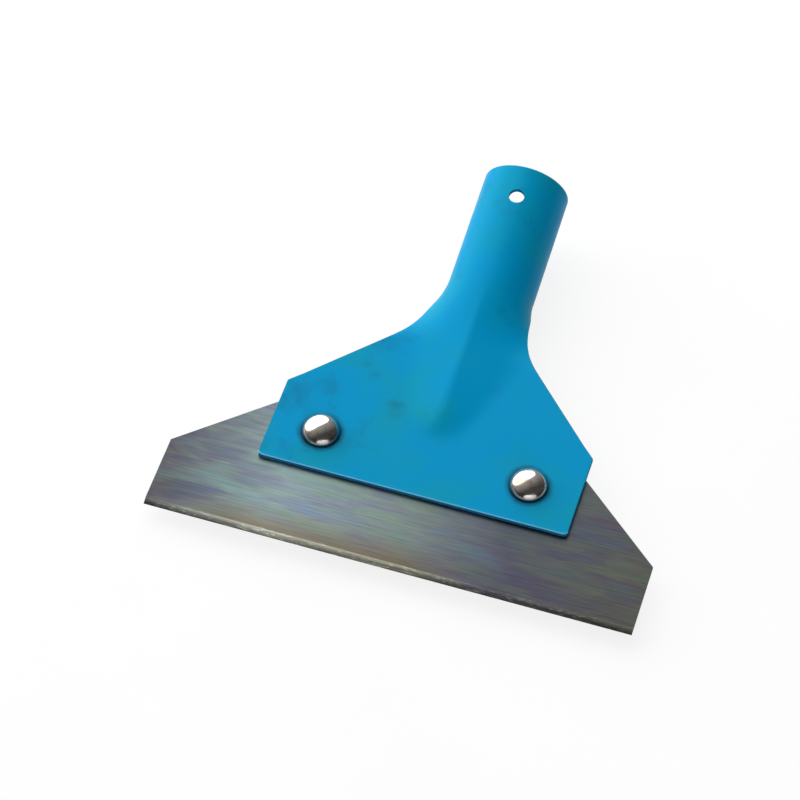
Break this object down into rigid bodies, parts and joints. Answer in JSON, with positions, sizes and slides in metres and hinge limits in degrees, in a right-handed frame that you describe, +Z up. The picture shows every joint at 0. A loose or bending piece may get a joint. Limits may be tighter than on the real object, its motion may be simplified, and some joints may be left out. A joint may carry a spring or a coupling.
{
  "type": "floor scraper",
  "caption": "Floor scraper head: a wide flat steel blade bolted behind a pressed sheet-steel holder with a rolled round pole socket.",
  "frame": {"origin": "middle of the footprint of the tool lying on its back, on the ground", "axes": "+X along the cutting edge to the right as seen from the front, +Y from the cutting edge towards the pole, +Z up"},
  "size_m": [0.2, 0.2028, 0.0473],
  "materials": {
    "blue_paint": "glossy blue paint",
    "blade_steel": "rolled spring steel with temper colours",
    "bright_nickel": "bright plated",
    "zinc_plate": "zinc plated"
  },
  "bodies": {
    "scraper": {"holder": "blue_paint", "blade": "blade_steel", "bolt_left": "bright_nickel", "bolt_right": "bright_nickel"},
    "washers_left": {"flat_washer_left": "zinc_plate", "spring_washer_left": "zinc_plate"},
    "nut_left": {"nut_left": "zinc_plate"},
    "washers_right": {"flat_washer_right": "zinc_plate", "spring_washer_right": "zinc_plate"},
    "nut_right": {"nut_right": "zinc_plate"}
  },
  "joints": [
    {"name": "washers_left_slide", "type": "slide", "parent": "scraper", "child": "washers_left", "axis": [0, 0.1026, -0.9947], "range_m": [0, 0.0028]},
    {"name": "nut_left_spin", "type": "hinge", "parent": "washers_left", "child": "nut_left", "pos_m": [-0.04335, -0.0489, 0.00799], "axis": [0, 0.1026, -0.9947], "range_deg": [0, 1008]},
    {"name": "washers_right_slide", "type": "slide", "parent": "scraper", "child": "washers_right", "axis": [0, 0.1026, -0.9947], "range_m": [0, 0.0028]},
    {"name": "nut_right_spin", "type": "hinge", "parent": "washers_right", "child": "nut_right", "pos_m": [0.04335, -0.0489, 0.00799], "axis": [0, 0.1026, -0.9947], "range_deg": [0, 1008]}
  ],
  "couplings": [
    {"joint": "nut_left_spin", "follows": "washers_left_slide", "rad_per_m": 6283.2},
    {"joint": "nut_right_spin", "follows": "washers_right_slide", "rad_per_m": 6283.2}
  ]
}
